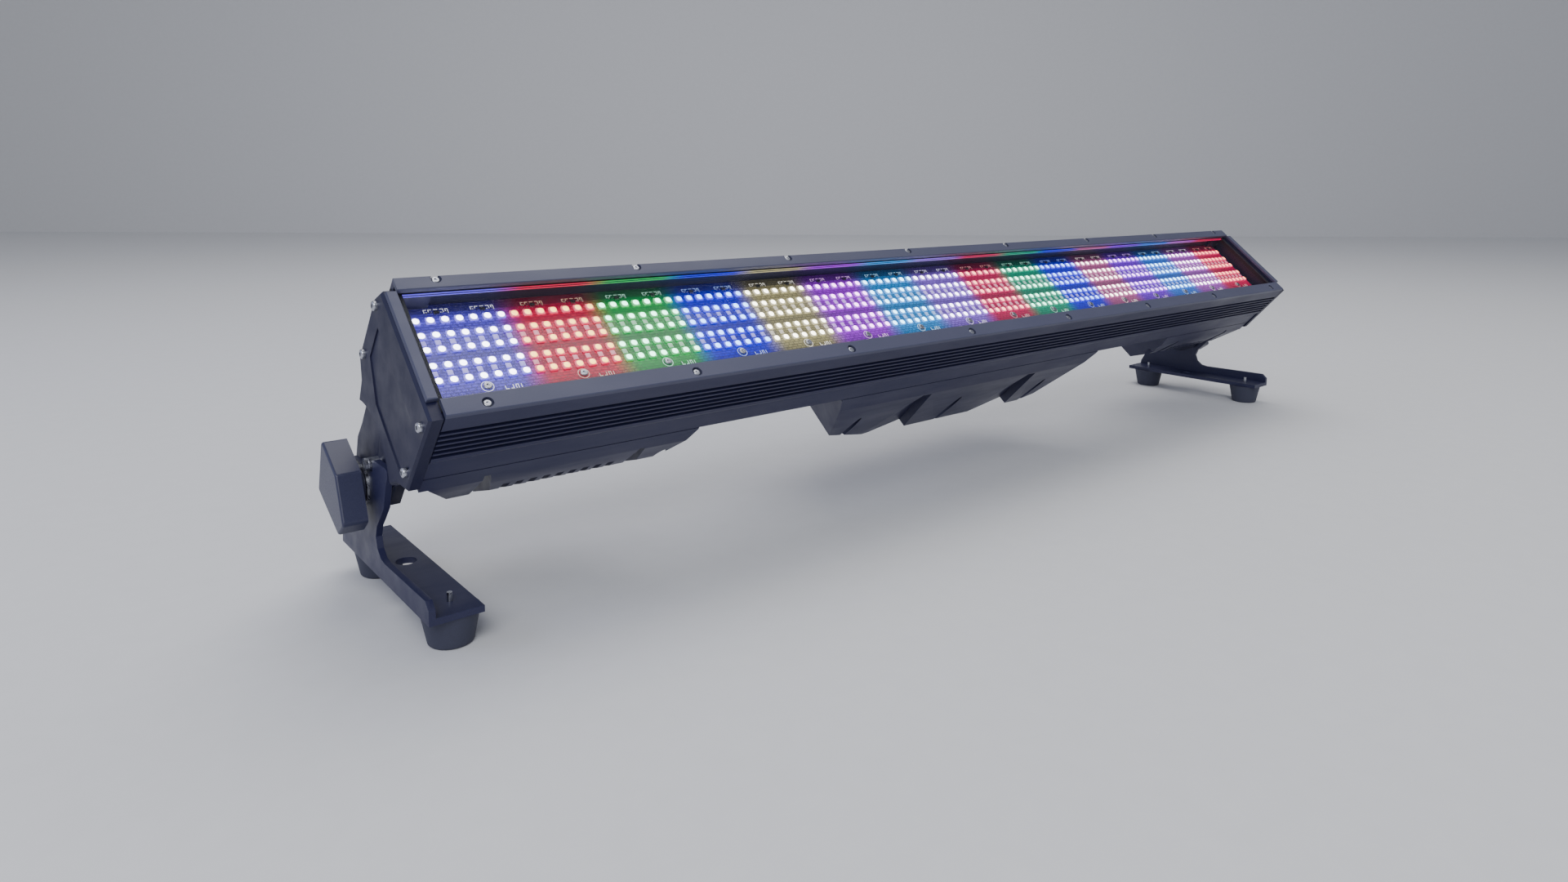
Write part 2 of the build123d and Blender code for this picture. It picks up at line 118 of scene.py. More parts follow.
paper, nodes, links, shader = new_material("pale_paper", (0.72, 0.72, 0.74), 0.85, specular=0.2)
grain = noise_value(nodes, links, object_point(nodes), 60.0, 4.0)
two_tone(nodes, links, shader, grain, (0.70, 0.70, 0.72), (0.74, 0.74, 0.76))

paper_bm = bmesh.new()
bmesh.ops.create_grid(paper_bm, x_segments=1, y_segments=1, size=6.0)
paper_mesh = bpy.data.meshes.new("floor")
paper_bm.to_mesh(paper_mesh)
paper_bm.free()
floor = bpy.data.objects.new("floor", paper_mesh)
wall = bpy.data.objects.new("backdrop", paper_mesh.copy())
for sheet in (floor, wall):
    sheet.data.materials.append(paper)
    bpy.context.scene.collection.objects.link(sheet)
wall.rotation_euler = (math.radians(90), 0, math.radians(-38))
wall.location = (2.6, 3.0, 0.0)

for name, place, aim, size, power, tint in (
        ("key_box", (-1.9, -1.9, 2.2), (0.0, 0.0, 0.1), 1.8, 62.0, (0.95, 0.97, 1.0)),
        ("side_box", (-2.4, 0.9, 1.1), (-0.4, 0.0, 0.1), 1.2, 9.0, (0.55, 0.62, 1.0)),
        ("top_box", (0.6, 0.6, 2.8), (0.1, 0.0, 0.1), 2.4, 46.0, (1.0, 0.99, 0.97))):
    light = bpy.data.lights.new(name, "AREA")
    light.size = size
    light.energy = power
    light.color = tint
    lamp = bpy.data.objects.new(name, light)
    lamp.location = place
    lamp.rotation_euler = (Vector(aim) - Vector(place)).to_track_quat("-Z", "Y").to_euler()
    bpy.context.scene.collection.objects.link(lamp)

world = bpy.data.worlds.new("studio_air")
world.use_nodes = True
world.node_tree.nodes["Background"].inputs["Color"].default_value = (0.80, 0.84, 0.92, 1.0)
world.node_tree.nodes["Background"].inputs["Strength"].default_value = 0.42
bpy.context.scene.world = world

# ---- aluminium housing ---------------------------------------------------------
# A long extruded trough with a row of grooves down each side, powder coated in a
# fine sandy black that reads as dark slate, with its LED boards screwed inside.
TILT = math.radians(40.5)
PIVOT_Y = 0.035606
PIVOT_Z = 0.073
TILTED = Matrix.Translation((0, PIVOT_Y, PIVOT_Z)) @ Matrix.Rotation(TILT, 4, "X") @ Matrix.Scale(0.001, 4)


def powder_coat(name, dark, light, roughness, grain_size):
    """Fine-textured powder coat: sandy relief, faint cloudy shade and dry rubbed spots."""
    material, nodes, links, shader = new_material(name, dark, roughness, specular=0.45)
    point = object_point(nodes)
    sand = noise_value(nodes, links, point, grain_size, 3.0)
    cloud = noise_value(nodes, links, point, 14.0, 4.0)
    rub = noise_value(nodes, links, point, 70.0, 5.0, (0.25, 1.0, 1.0))
    shade = nodes.new("ShaderNodeMath")
    shade.operation = "MULTIPLY_ADD"
    shade.inputs[1].default_value = 0.55
    links.new(sand, shade.inputs[0])
    links.new(ranged(nodes, links, cloud, 0.08, 0.30), shade.inputs[2])
    two_tone(nodes, links, shader, shade.outputs["Value"], dark, light)
    links.new(ranged(nodes, links, rub, roughness - 0.07, roughness + 0.08), shader.inputs["Roughness"])
    bumped(nodes, links, shader, sand, 0.35, 0.00012)
    return material


def shown_as(material, *node_names):
    """Give carried-over pieces their finish."""
    for node_name in node_names:
        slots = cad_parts[node_name].material_slots
        for slot in slots:
            slot.material = material


housing_coat = powder_coat("housing_powder_coat", (0.012, 0.013, 0.046), (0.034, 0.036, 0.090), 0.46, 1500.0)
shown_as(housing_coat, "housing_extrusion")


def softened(name, node, body, material, width, steps=2):
    """The same solid with its sharp corners broken, as cast, pressed or machined edges are."""
    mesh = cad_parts[node].data.copy()
    mesh.name = name
    mesh.materials.clear()
    mesh.materials.append(material)
    bm = bmesh.new()
    bm.from_mesh(mesh)
    bmesh.ops.remove_doubles(bm, verts=bm.verts, dist=1e-6)
    bmesh.ops.dissolve_limit(bm, angle_limit=math.radians(1.5), verts=bm.verts, edges=bm.edges)
    bmesh.ops.recalc_face_normals(bm, faces=bm.faces)
    for face in bm.faces:
        face.material_index = 0
        face.smooth = True
    bm.to_mesh(mesh)
    bm.free()
    mesh.set_sharp_from_angle(angle=math.radians(32))
    piece = bpy.data.objects.new(name, mesh)
    bpy.context.scene.collection.objects.link(piece)
    bevel = piece.modifiers.new("broken_corners", "BEVEL")
    bevel.width = width
    bevel.segments = steps
    bevel.limit_method = "ANGLE"
    bevel.angle_limit = math.radians(32)
    bevel.harden_normals = True
    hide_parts(node)
    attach(piece, body)
    return piece


# ---- window rails and end bars ---------------------------------------------------
# Flat aluminium strips that clamp the glass, coated a little paler than the
# housing, with their screws sunk in counterbores.
rail_coat = powder_coat("rail_satin_coat", (0.050, 0.053, 0.100), (0.082, 0.087, 0.146), 0.44, 1800.0)
shown_as(rail_coat, "window_rail_top", "window_rail_bottom")
for side in ("left", "right"):
    softened(f"{side}_end_strip", f"{side}_end_bar", "housing", rail_coat, 0.0004)


def finished(name, bm, to_world, materials, body, replaced=(), smooth_angle=32):
    """Turn shop-drawing millimetres into a finished piece in place."""
    bmesh.ops.transform(bm, matrix=to_world, verts=bm.verts)
    mesh = bpy.data.meshes.new(name)
    bm.to_mesh(mesh)
    bm.free()
    for material in materials:
        mesh.materials.append(material)
    for polygon in mesh.polygons:
        polygon.use_smooth = True
    mesh.set_sharp_from_angle(angle=math.radians(smooth_angle))
    piece = bpy.data.objects.new(name, mesh)
    bpy.context.scene.collection.objects.link(piece)
    if replaced:
        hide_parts(*replaced)
    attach(piece, body)
    return piece


def stamped(bm, pattern, places):
    """Copy a small shape to each place."""
    mesh = bpy.data.meshes.new("pattern")
    pattern.to_mesh(mesh)
    for place in places:
        start = len(bm.verts)
        bm.from_mesh(mesh)
        bm.verts.ensure_lookup_table()
        bmesh.ops.transform(bm, matrix=place, verts=bm.verts[start:])
    bpy.data.meshes.remove(mesh)
    pattern.free()


def screw_shape(shank_r, length, head_r, head_h, socket_r):
    """A round-headed socket screw: dished six-sided drive, rounded head edge, plain shank."""
    bm = bmesh.new()
    bmesh.ops.create_cone(bm, cap_ends=True, segments=24, radius1=shank_r, radius2=shank_r, depth=length)
    bmesh.ops.translate(bm, vec=(0, 0, -length / 2 + 0.02), verts=bm.verts)
    head = bmesh.new()
    bmesh.ops.create_cone(head, cap_ends=True, segments=24, radius1=head_r, radius2=head_r, depth=head_h)
    bmesh.ops.translate(head, vec=(0, 0, head_h / 2), verts=head.verts)
    top = max(head.faces, key=lambda face: face.calc_center_median().z)
    rim = list(top.edges)
    bmesh.ops.bevel(head, geom=rim, offset=head_h * 0.42, segments=3, profile=0.5,
                    affect="EDGES", material=-1)
    top = max(head.faces, key=lambda face: face.calc_center_median().z)
    bmesh.ops.inset_individual(head, faces=[top], thickness=0.25 * head_r)
    for vert in top.verts:
        angle = math.atan2(vert.co.y, vert.co.x)
        flat = math.cos(math.pi / 6) / math.cos((angle % (math.pi / 3)) - math.pi / 6)
        vert.co.x = socket_r * flat * math.cos(angle)
        vert.co.y = socket_r * flat * math.sin(angle)
    sunk = bmesh.ops.extrude_discrete_faces(head, faces=[top])["faces"][0]
    bmesh.ops.translate(head, vec=(0, 0, -0.55 * head_h), verts=sunk.verts)
    mesh = bpy.data.meshes.new("head")
    head.to_mesh(mesh)
    head.free()
    bm.from_mesh(mesh)
    bpy.data.meshes.remove(mesh)
    return bm


gun_metal, nodes, links, shader = new_material("gun_metal_screws", (0.46, 0.47, 0.52), 0.28, metallic=1.0)
turning = noise_value(nodes, links, object_point(nodes), 900.0, 2.0, (1.0, 1.0, 6.0))
links.new(ranged(nodes, links, turning, 0.20, 0.42), shader.inputs["Roughness"])
two_tone(nodes, links, shader, turning, (0.36, 0.37, 0.42), (0.62, 0.63, 0.68))
bumped(nodes, links, shader, turning, 0.12, 0.00005)

COUNTERBORE_N = 131.0
RAIL_SCREW_YS = (48.8, -46.4)
RAIL_SCREW_XS = [side * x for x in (68.4, 205.2, 342.0, 481.0) for side in (-1, 1)]
bm = bmesh.new()
stamped(bm, screw_shape(1.5, 9.8, 2.4, 1.3, 1.1),
        [Matrix.Translation((x, y, COUNTERBORE_N)) for x in RAIL_SCREW_XS for y in RAIL_SCREW_YS])
finished("sunk_rail_screws", bm, TILTED, [gun_metal], "housing", ["rail_screws"])

# ---- LED boards ------------------------------------------------------------------
# Four glass-fibre boards in shiny black solder mask. The lamps are run in sixteen
# colour fields of seven columns; each field's light on the mask round it is painted in as a glow.
FIELD_COUNT = 16
LED_PITCH = 8.9
FIELD_GLOW = [
    (0.14, 0.10, 1.0), (0.85, 0.0, 0.06), (0.0, 0.50, 0.07), (0.0, 0.0, 1.0),
    (0.50, 0.45, 0.20), (0.46, 0.0, 1.0), (0.02, 0.36, 1.0), (0.34, 0.16, 1.0),
    (0.75, 0.01, 0.12), (0.0, 0.42, 0.22), (0.0, 0.0, 1.0), (0.58, 0.12, 0.34),
    (0.24, 0.0, 1.0), (0.01, 0.20, 1.0), (0.50, 0.09, 0.70), (0.85, 0.0, 0.10)]
FIELD_LENS = [
    (1.35, 1.40, 1.60), (0.78, 0.40, 0.0), (0.45, 1.20, 0.80), (0.16, 0.50, 1.30),
    (1.50, 1.42, 1.12), (1.20, 0.50, 1.30), (0.40, 1.00, 1.40), (1.20, 1.15, 1.50),
    (0.95, 0.24, 0.14), (0.36, 1.10, 0.72), (0.14, 0.38, 1.20), (1.40, 1.18, 1.00),
    (0.90, 0.38, 1.30), (0.32, 0.85, 1.30), (1.35, 1.10, 1.30), (0.95, 0.18, 0.05)]
HALF_FIELD = FIELD_COUNT * 7 * LED_PITCH / 2000.0
ROWS = (33.0, 21.3, 10.1, -2.0, -13.2)


def field_colour(nodes, links, point, colours, soft):
    """The colour of the field that a point lies in, along the bar."""
    split = nodes.new("ShaderNodeSeparateXYZ")
    links.new(point, split.inputs["Vector"])
    along = ranged(nodes, links, split.outputs["X"], 0.0, 1.0, -HALF_FIELD, HALF_FIELD)
    ramp = nodes.new("ShaderNodeValToRGB")
    ramp.color_ramp.interpolation = "LINEAR" if soft else "CONSTANT"
    stops = ramp.color_ramp.elements
    while len(stops) > 1:
        stops.remove(stops[-1])
    for index, colour in enumerate(colours):
        for share in ((0.14, 0.86) if soft else (0.0,)):
            place = (index + share) / len(colours)
            stop = stops[0] if index == 0 and share == (0.14 if soft else 0.0) else stops.new(place)
            stop.position = place
            stop.color = (*colour, 1.0)
    links.new(along, ramp.inputs["Fac"])
    return ramp.outputs["Color"]


def lit_by_fields(nodes, links, shader, colours, soft, strength):
    """Light of the field that a point lies in."""
    colour = field_colour(nodes, links, object_point(nodes), colours, soft)
    links.new(colour, shader.inputs["Emission Color"])
    shader.inputs["Emission Strength"].default_value = strength


def flat_point(nodes, links):
    """The place on the object with the bar turned flat, window up."""
    turn = nodes.new("ShaderNodeVectorRotate")
    turn.rotation_type = "X_AXIS"
    turn.inputs["Center"].default_value = (0, PIVOT_Y, PIVOT_Z)
    turn.inputs["Angle"].default_value = -TILT
    links.new(object_point(nodes), turn.inputs["Vector"])
    return turn.outputs["Vector"]


board_mask, nodes, links, shader = new_material(
    "board_solder_mask", (0.006, 0.007, 0.016), 0.26, specular=0.4, coat=0.15)
shader.inputs["Coat Roughness"].default_value = 0.12
point = flat_point(nodes, links)
split = nodes.new("ShaderNodeSeparateXYZ")
links.new(point, split.inputs["Vector"])
# Painted light: the mask glows brightest along each row of lamps and dims between the rows and towards the
# edges.
rows = nodes.new("ShaderNodeValToRGB")
rows.color_ramp.interpolation = "EASE"
stops = rows.color_ramp.elements
stops[0].position, stops[0].color = 0.0, (0.10, 0.10, 0.10, 1)
stops[1].position, stops[1].color = 1.0, (0.03, 0.03, 0.03, 1)
GLOW_FROM, GLOW_TO = -45.0, 50.0
for across, glow in ((-36.0, 0.20), (-26.0, 0.42), (-18.5, 0.78), (-13.2, 1.0), (-7.6, 0.62),
                     (-2.0, 1.0), (4.0, 0.50), (10.1, 1.0), (15.7, 0.66), (21.3, 1.0),
                     (27.0, 0.62), (33.0, 0.9), (37.5, 0.42), (41.0, 0.13)):
    stop = stops.new((across - GLOW_FROM) / (GLOW_TO - GLOW_FROM))
    stop.color = (glow, glow, glow, 1.0)
across_board = ranged(nodes, links, split.outputs["Y"], 0.0, 1.0,
                      PIVOT_Y + GLOW_FROM / 1000.0, PIVOT_Y + GLOW_TO / 1000.0)
links.new(across_board, rows.inputs["Fac"])
traces = nodes.new("ShaderNodeTexBrick")
traces.inputs["Scale"].default_value = 112.3
traces.inputs["Mortar Size"].default_value = 0.05
traces.inputs["Color1"].default_value = (0.78, 0.78, 0.78, 1)
traces.inputs["Color2"].default_value = (1.0, 1.0, 1.0, 1)
traces.inputs["Mortar"].default_value = (0.50, 0.50, 0.50, 1)
links.new(point, traces.inputs["Vector"])
speckle = noise_value(nodes, links, point, 420.0, 3.0)
speckled = nodes.new("ShaderNodeMath")
speckled.operation = "MULTIPLY"
links.new(rows.outputs["Color"], speckled.inputs[0])
links.new(ranged(nodes, links, speckle, 0.62, 1.05), speckled.inputs[1])
traced = nodes.new("ShaderNodeMath")
traced.operation = "MULTIPLY"
links.new(speckled.outputs["Value"], traced.inputs[0])
links.new(traces.outputs["Color"], traced.inputs[1])
# Painted light: the mask itself emits its field's colour, weighted by the row glow, the trace pattern and
# the speckle.
painted_board_glow = nodes.new("ShaderNodeMix")
painted_board_glow.data_type = "RGBA"
painted_board_glow.inputs["A"].default_value = (0.0, 0.0, 0.004, 1.0)
links.new(field_colour(nodes, links, point, FIELD_GLOW, True), painted_board_glow.inputs["B"])
links.new(traced.outputs["Value"], painted_board_glow.inputs["Factor"])
links.new(painted_board_glow.outputs["Result"], shader.inputs["Emission Color"])
shader.inputs["Emission Strength"].default_value = 1.5
bumped(nodes, links, shader, speckle, 0.02, 0.00002)
shown_as(board_mask, "led_board_1", "led_board_2", "led_board_3", "led_board_4")

# ---- large LEDs --------------------------------------------------------------------
# Five rows of square surface-mount lamps: a white moulded cup on solder tabs with a
# domed clear lens, one corner cut to show the polarity.
lens_glow, nodes, links, shader = new_material("lamp_lens", (0.9, 0.9, 0.9), 0.10, specular=0.6, coat=0.3)
lit_by_fields(nodes, links, shader, FIELD_LENS, False, 5.5)
cup_plastic, nodes, links, shader = new_material("lamp_cup", (0.42, 0.40, 0.44), 0.42)
lit_by_fields(nodes, links, shader, FIELD_GLOW, False, 1.5)
mould = noise_value(nodes, links, object_point(nodes), 2500.0)
links.new(ranged(nodes, links, mould, 0.34, 0.52), shader.inputs["Roughness"])
solder, nodes, links, shader = new_material("solder", (0.62, 0.62, 0.64), 0.28, metallic=1.0)
solder_skin = noise_value(nodes, links, object_point(nodes), 2200.0)
links.new(ranged(nodes, links, solder_skin, 0.18, 0.45), shader.inputs["Roughness"])


def cuboid(bm, x0, x1, y0, y1, z0, z1, material=0):
    """A block between six limits."""
    made = bmesh.ops.create_cube(bm, size=1.0)["verts"]
    bmesh.ops.scale(bm, vec=(x1 - x0, y1 - y0, z1 - z0), verts=made)
    bmesh.ops.translate(bm, vec=((x0 + x1) / 2, (y0 + y1) / 2, (z0 + z1) / 2), verts=made)
    for face in {face for vert in made for face in vert.link_faces}:
        face.material_index = material
    return made


def lamp_shape():
    """One square lamp: cup, lens and two solder tabs."""
    bm = bmesh.new()
    cuboid(bm, -2.5, 2.5, -2.5, 2.5, 0.15, 1.5)
    corner = [edge for edge in bm.edges if all(vert.co.x > 0 and vert.co.y > 0 for vert in edge.verts)]
    bmesh.ops.bevel(bm, geom=corner, offset=0.8, segments=1, profile=0.5, affect="EDGES", material=-1)
    top = max(bm.faces, key=lambda face: face.calc_center_median().z)
    bmesh.ops.bevel(bm, geom=list(top.edges), offset=0.25, segments=1, profile=0.5,
                    affect="EDGES", material=-1)
    lens = bmesh.ops.create_cone(bm, cap_ends=True, segments=12,
                                 radius1=2.25, radius2=1.90, depth=0.36)["verts"]
    bmesh.ops.translate(bm, vec=(0, 0, 1.66), verts=lens)
    lens_top = max(bm.faces, key=lambda face: face.calc_center_median().z)
    domed = bmesh.ops.inset_individual(bm, faces=[lens_top], thickness=0.7, depth=0.22)["faces"]
    lens_faces = {face for vert in lens for face in vert.link_faces} | set(domed) | {lens_top}
    for face in lens_faces:
        face.material_index = 1
    for tab_x in (-3.0, 2.0):
        cuboid(bm, tab_x, tab_x + 1.0, -1.7, 1.7, 0.0, 0.3, 2)
    return bm


BOARD_TOP = 112.4
LED_TOP = 112.42
columns = [(index - (FIELD_COUNT * 7 - 1) / 2) * LED_PITCH for index in range(FIELD_COUNT * 7)]
for row_number, across in enumerate(ROWS, start=1):
    bm = bmesh.new()
    stamped(bm, lamp_shape(), [Matrix.Translation((x, across, LED_TOP)) for x in columns])
    finished(f"lamp_row_{row_number}", bm, TILTED, [cup_plastic, lens_glow, solder], "housing")

# ---- small LEDs and driver chips ----------------------------------------------------
# Two rows of small pale lamps sit between the large ones. Above the top row each
# field has two clusters of chips, and white print marks the board, painted with a faint glow of its field's
# light.
pale_lamp, nodes, links, shader = new_material("pale_small_lamp", (0.62, 0.58, 0.62), 0.38)
lit_by_fields(nodes, links, shader, FIELD_GLOW, False, 0.9)
mould = noise_value(nodes, links, object_point(nodes), 2500.0)
two_tone(nodes, links, shader, mould, (0.56, 0.52, 0.58), (0.76, 0.70, 0.76))

SMALL_ROWS = (15.9, -7.3)


def small_lamp_shape():
    """One small lamp with a raised lens."""
    bm = bmesh.new()
    cuboid(bm, -1.7, 1.7, -1.9, 1.9, 0.0, 0.7)
    top = max(bm.faces, key=lambda face: face.calc_center_median().z)
    bmesh.ops.bevel(bm, geom=list(top.edges), offset=0.18, segments=1, profile=0.5,
                    affect="EDGES", material=-1)
    top = max(bm.faces, key=lambda face: face.calc_center_median().z)
    bmesh.ops.inset_individual(bm, faces=[top], thickness=0.4, depth=0.16)
    return bm


bm = bmesh.new()
stamped(bm, small_lamp_shape(), [Matrix.Translation((x - 0.3, across, LED_TOP))
                                 for x in columns for across in SMALL_ROWS])
finished("small_lamps", bm, TILTED, [pale_lamp], "housing")

chip_body, nodes, links, shader = new_material("chip_body", (0.03, 0.03, 0.035), 0.40)
chip_skin = noise_value(nodes, links, object_point(nodes), 3000.0)
links.new(ranged(nodes, links, chip_skin, 0.32, 0.50), shader.inputs["Roughness"])
white_print, nodes, links, shader = new_material("white_print", (0.70, 0.70, 0.76), 0.55)
ink = noise_value(nodes, links, object_point(nodes), 1800.0)
two_tone(nodes, links, shader, ink, (0.50, 0.50, 0.58), (0.84, 0.84, 0.90))
# Painted light: the print glows faintly with its field's colour, as if lit by the lamps.
lit_by_fields(nodes, links, shader, FIELD_LENS, True, 0.55)

INK_H = 0.06
CHIP_Y = 40.2
BOARD_SCREW_Y = -20.5
cluster = bmesh.new()
cuboid(cluster, -1.6, 1.6, -1.4, 0.6, 0.0, 0.8, 0)
for pin in range(4):
    cuboid(cluster, -1.45 + pin * 0.8, -1.10 + pin * 0.8, -2.3, -1.4, 0.0, 0.2, 2)
for x0, x1, y0, y1 in (
        (-7.4, -5.4, 2.1, 2.5), (-7.4, -7.0, -0.2, 2.1), (-6.4, -5.4, 0.1, 0.5), (-4.6, -2.4, 2.1, 2.5),
        (-4.6, -4.2, 0.6, 2.1), (-1.2, 1.4, 2.1, 2.5), (2.6, 4.8, 2.1, 2.5), (4.4, 4.8, -0.2, 2.1),
        (5.8, 7.6, 2.1, 2.5), (5.8, 6.2, 0.4, 2.1), (7.2, 7.6, -1.2, 2.1), (2.6, 3.8, -0.4, 0.0)):
    cuboid(cluster, x0, x1, y0, y1, 0.0, INK_H, 1)
for part_x in (-6.0, -3.4, 3.6, 6.7):
    cuboid(cluster, part_x - 0.5, part_x + 0.5, -0.9, -0.1, 0.0, 0.4, 2)
field_x = [(field - (FIELD_COUNT - 1) / 2) * 7 * LED_PITCH for field in range(FIELD_COUNT)]
bm = bmesh.new()
stamped(bm, cluster, [Matrix.Translation((x + shift, CHIP_Y, LED_TOP))
                      for x in field_x for shift in (-12.0, 17.0)])
finished("driver_chips", bm, TILTED, [chip_body, white_print, solder], "housing")

marks = bmesh.new()
bmesh.ops.create_circle(marks, segments=20, radius=3.9)
bmesh.ops.extrude_edge_only(marks, edges=marks.edges)
bmesh.ops.scale(marks, vec=(0.88, 0.88, 1.0), verts=marks.verts[20:])
ring_skin = bmesh.ops.extrude_face_region(marks, geom=list(marks.faces))["geom"]
raised = [item for item in ring_skin if isinstance(item, bmesh.types.BMVert)]
bmesh.ops.translate(marks, vec=(0, 0, INK_H), verts=raised)
bmesh.ops.recalc_face_normals(marks, faces=marks.faces)
for x0, x1, y0, y1 in (
        (10.0, 12.2, -4.0, -3.5), (10.0, 10.5, -3.5, -1.4), (13.4, 15.4, -4.0, -3.5),
        (14.9, 15.4, -3.5, -1.0), (16.6, 18.6, -1.5, -1.0), (16.6, 17.1, -4.0, -1.5),
        (18.1, 18.6, -4.0, -1.5), (20.0, 20.5, -4.0, -1.2)):
    cuboid(marks, x0, x1, y0, y1, 0.0, INK_H)
bm = bmesh.new()
stamped(bm, marks, [Matrix.Translation((x, BOARD_SCREW_Y, LED_TOP)) for x in field_x])
finished("board_print", bm, TILTED, [white_print], "housing")

bm = bmesh.new()
stamped(bm, screw_shape(1.5, 5.0, 2.7, 1.4, 1.2),
        [Matrix.Translation((x, BOARD_SCREW_Y, BOARD_TOP)) for x in field_x])
finished("board_fixing_screws", bm, TILTED, [gun_metal], "housing", ["board_screws"])

# ---- painted reflections on the lip inside the window ----------------------------------
# The inner edge of the window carries two thin beads that glow with the colours
# of the lamps beside them: painted reflections, over the dark wall of the trough.
painted_lip_reflection, nodes, links, shader = new_material("polished_lip_painted_reflection", (0.06, 0.06, 0.09), 0.20, specular=0.6)
# Painted reflection: the beads emit the colour of the field beside them.
lit_by_fields(nodes, links, shader, FIELD_GLOW, True, 1.3)
draw_lines = noise_value(nodes, links, object_point(nodes), 500.0, 2.0, (0.02, 1.0, 1.0))
links.new(ranged(nodes, links, draw_lines, 0.14, 0.30), shader.inputs["Roughness"])
bm = bmesh.new()
LIP_Y = 43.2
for height in (126.2, 124.4):
    along_bar = Matrix.Translation((0, LIP_Y, height)) @ Matrix.Rotation(math.pi / 2, 4, "Y")
    bmesh.ops.create_cone(bm, cap_ends=True, segments=12, radius1=0.3, radius2=0.3,
                          depth=1009.0, matrix=along_bar)
finished("window_lip_painted_reflections", bm, TILTED, [painted_lip_reflection], "housing")

# ---- glass and seals ----------------------------------------------------------------------
# Clear tempered glass lies on a black rubber seal under the rails.
clear_glass, nodes, links, shader = new_material("tempered_glass", (0.03, 0.035, 0.04), 0.03, specular=0.5)
facing = nodes.new("ShaderNodeLayerWeight")
facing.inputs["Blend"].default_value = 0.35
dust = noise_value(nodes, links, object_point(nodes), 40.0, 5.0)
links.new(ranged(nodes, links, facing.outputs["Facing"], 0.02, 0.10, 0.0, 1.0), shader.inputs["Alpha"])
links.new(ranged(nodes, links, dust, 0.02, 0.07), shader.inputs["Roughness"])
shown_as(clear_glass, "window_glass")
seal_rubber, nodes, links, shader = new_material("black_rubber", (0.022, 0.023, 0.030), 0.72, specular=0.35)
skin = noise_value(nodes, links, object_point(nodes), 1300.0, 3.0)
two_tone(nodes, links, shader, skin, (0.016, 0.017, 0.024), (0.036, 0.038, 0.052))
links.new(ranged(nodes, links, skin, 0.62, 0.82), shader.inputs["Roughness"])
bumped(nodes, links, shader, skin, 0.3, 0.0001)
shown_as(seal_rubber, "window_gasket", "left_cap_gasket", "right_cap_gasket")

# ---- end caps -----------------------------------------------------------------------------
# Die-cast ends in the housing's coat, with a round pocket that the bracket arm
# turns in, each held by four screws; a steel pin meets the arm to stop the tilt.
cap_coat = powder_coat("cap_powder_coat", (0.002, 0.003, 0.024), (0.009, 0.010, 0.048), 0.50, 1400.0)
for side in ("left", "right"):
    softened(f"{side}_cast_cap", f"{side}_end_cap", "housing", cap_coat, 0.0006)
CAP_FACE_X = 514.0
CAP_SCREWS = ((45.0, 117.0), (-45.0, 117.0), (44.5, 75.0), (-44.5, 75.0))
bm = bmesh.new()
stamped(bm, screw_shape(1.5, 9.0, 3.0, 2.4, 1.4),
        [Matrix.Translation((side * CAP_FACE_X, y, n)) @ Matrix.Rotation(side * math.pi / 2, 4, "Y")
         for side in (-1, 1) for y, n in CAP_SCREWS])
finished("cap_fixing_screws", bm, TILTED, [gun_metal], "housing", ["end_cap_screws"])

bare_steel, nodes, links, shader = new_material("zinc_plated_steel", (0.52, 0.53, 0.57), 0.30, metallic=1.0)
plate_bloom = noise_value(nodes, links, object_point(nodes), 260.0, 4.0)
two_tone(nodes, links, shader, plate_bloom, (0.42, 0.43, 0.48), (0.66, 0.67, 0.70))
links.new(ranged(nodes, links, plate_bloom, 0.20, 0.44), shader.inputs["Roughness"])
shown_as(bare_steel, "stop_pins", "left_pivot_stud", "right_pivot_stud",
         "left_arm_washer", "right_arm_washer",
         "left_foot_screws", "right_foot_screws", "cover_screws", "box_screws")
washer_nylon, nodes, links, shader = new_material("natural_nylon", (0.70, 0.69, 0.62), 0.45)
milky = noise_value(nodes, links, object_point(nodes), 300.0, 3.0)
two_tone(nodes, links, shader, milky, (0.62, 0.61, 0.54), (0.78, 0.77, 0.71))
shown_as(washer_nylon, "left_friction_washer", "right_friction_washer")

# ---- floor brackets, feet -------------------------------------------------------------------
# Each bracket is one steel plate cut and folded into a foot and an arm, powder
# coated. Two conical rubber feet are screwed up under it; the hole takes a clamp.
bracket_coat = powder_coat("bracket_powder_coat", (0.009, 0.010, 0.042), (0.028, 0.030, 0.082), 0.44, 1300.0)
foot_rubber, nodes, links, shader = new_material("foot_rubber", (0.040, 0.043, 0.072), 0.62, specular=0.4)
skin = noise_value(nodes, links, object_point(nodes), 1100.0, 3.0)
two_tone(nodes, links, shader, skin, (0.030, 0.032, 0.056), (0.062, 0.066, 0.104))
links.new(ranged(nodes, links, skin, 0.54, 0.74), shader.inputs["Roughness"])
bumped(nodes, links, shader, skin, 0.3, 0.0001)
for side in ("left", "right"):
    softened(f"{side}_folded_bracket", f"{side}_bracket_plate", f"{side}_bracket",
             bracket_coat, 0.0006)
    shown_as(foot_rubber, f"{side}_rubber_feet")

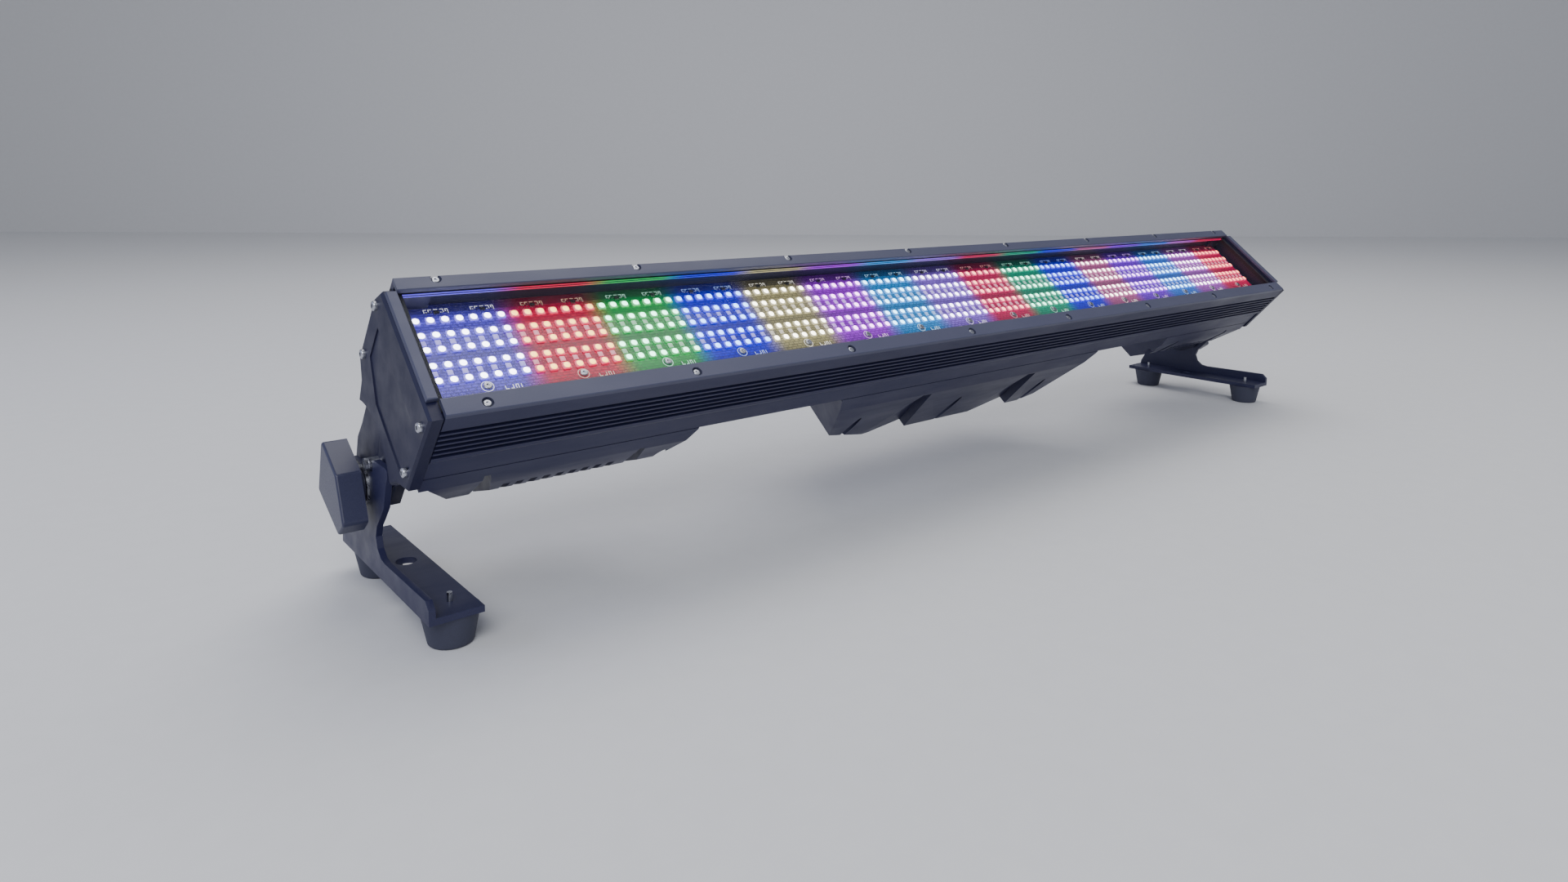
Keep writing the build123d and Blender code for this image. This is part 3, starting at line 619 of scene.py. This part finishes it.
# ---- clamp knobs ---------------------------------------------------------------------------
# Moulded glass-filled nylon wing knobs on brass inserts, run on the pivot studs.
knob_nylon, nodes, links, shader = new_material("knob_nylon", (0.022, 0.024, 0.060), 0.34, specular=0.5)
fibre = noise_value(nodes, links, object_point(nodes), 1700.0, 3.0)
two_tone(nodes, links, shader, fibre, (0.016, 0.018, 0.050), (0.040, 0.043, 0.094))
links.new(ranged(nodes, links, fibre, 0.30, 0.46), shader.inputs["Roughness"])
bumped(nodes, links, shader, fibre, 0.18, 0.00008)
shown_as(knob_nylon, "left_knob_grip", "right_knob_grip")
brass, nodes, links, shader = new_material("turned_brass", (0.72, 0.52, 0.22), 0.28, metallic=1.0)
turned = noise_value(nodes, links, object_point(nodes), 800.0, 2.0, (8.0, 1.0, 1.0))
links.new(ranged(nodes, links, turned, 0.18, 0.38), shader.inputs["Roughness"])
shown_as(brass, "left_knob_insert", "right_knob_insert")

# ---- rear covers and driver box --------------------------------------------------------------
# Cast covers hold a power supply at each end behind cooling fins; the driver box in
# the middle holds the control board and carries the sockets on its back.
for side in ("left", "right"):
    softened(f"{side}_finned_cover", f"{side}_rear_cover", "housing", housing_coat, 0.0005)
softened("cast_driver_box", "driver_box", "housing", housing_coat, 0.0006)
supply_case, nodes, links, shader = new_material("supply_case", (0.60, 0.61, 0.62), 0.35, metallic=1.0)
rolled = noise_value(nodes, links, object_point(nodes), 600.0, 2.0, (0.05, 1.0, 1.0))
links.new(ranged(nodes, links, rolled, 0.25, 0.48), shader.inputs["Roughness"])
shown_as(supply_case, "left_power_supply", "right_power_supply")
green_mask, nodes, links, shader = new_material("green_board", (0.02, 0.14, 0.06), 0.30)
weave = noise_value(nodes, links, object_point(nodes), 500.0, 2.0)
two_tone(nodes, links, shader, weave, (0.015, 0.11, 0.05), (0.03, 0.18, 0.08))
shown_as(green_mask, "control_board")
moulded_black, nodes, links, shader = new_material("moulded_black", (0.025, 0.026, 0.032), 0.38)
satin = noise_value(nodes, links, object_point(nodes), 1500.0, 3.0)
links.new(ranged(nodes, links, satin, 0.30, 0.48), shader.inputs["Roughness"])
bumped(nodes, links, shader, satin, 0.15, 0.00006)
shown_as(moulded_black, "button_switches", "power_inlet", "power_outlet", "data_inlet", "data_outlet")

# ---- menu panel --------------------------------------------------------------------------------
# A moulded panel with a smoked window over the display and four pale push caps.
panel_grey, nodes, links, shader = new_material("panel_grey", (0.085, 0.086, 0.095), 0.45)
satin = noise_value(nodes, links, object_point(nodes), 1500.0, 3.0)
two_tone(nodes, links, shader, satin, (0.070, 0.071, 0.080), (0.105, 0.106, 0.116))
bumped(nodes, links, shader, satin, 0.18, 0.00006)
shown_as(panel_grey, "control_panel")
smoked, nodes, links, shader = new_material(
    "smoked_window", (0.010, 0.012, 0.016), 0.06, specular=0.6, coat=0.4)
smear = noise_value(nodes, links, object_point(nodes), 90.0, 4.0)
links.new(ranged(nodes, links, smear, 0.04, 0.14), shader.inputs["Roughness"])
shown_as(smoked, "display_window")
push_cap, nodes, links, shader = new_material("push_cap", (0.55, 0.56, 0.58), 0.40)
satin = noise_value(nodes, links, object_point(nodes), 1500.0, 3.0)
two_tone(nodes, links, shader, satin, (0.50, 0.51, 0.53), (0.64, 0.65, 0.67))
shown_as(push_cap, "menu_button_1", "menu_button_2", "menu_button_3", "menu_button_4")
shown_as(bare_steel, "safety_eye")
